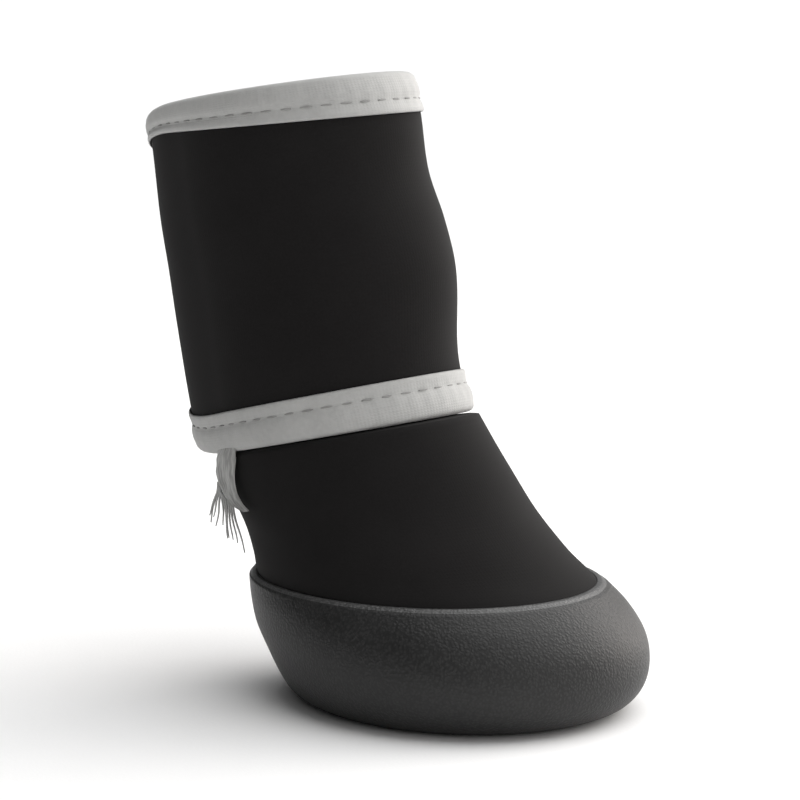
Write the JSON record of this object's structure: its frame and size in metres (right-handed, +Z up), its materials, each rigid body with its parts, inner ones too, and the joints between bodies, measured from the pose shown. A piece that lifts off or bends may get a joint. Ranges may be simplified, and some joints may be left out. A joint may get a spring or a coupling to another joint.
{
  "type": "dog boot",
  "caption": "Soft dog boot with a moulded rubber cup sole, a hollow cloth upper, and a bound wrap shaft that laps round the ankle under a sewn closing strap.",
  "frame": {"origin": "on the floor, under the middle of the tread", "axes": "+X towards the toe, +Y to the boot's left, the strap's side, +Z up"},
  "size_m": [0.1023, 0.0598, 0.1078],
  "materials": {
    "sole": "grained satin",
    "insole": "matt",
    "upper": "matt, close knit",
    "shaft": "matt, close knit",
    "shaft_binding": "woven tape",
    "strap": "matt, close knit",
    "strap_binding": "woven tape",
    "strap_patch": "smooth, semi-gloss"
  },
  "bodies": {
    "root": {"sole": "sole", "insole": "insole", "upper": "upper", "shaft": "shaft", "shaft_binding": "shaft_binding", "strap": "strap", "strap_binding": "strap_binding", "strap_patch": "strap_patch"}
  },
  "joints": []
}
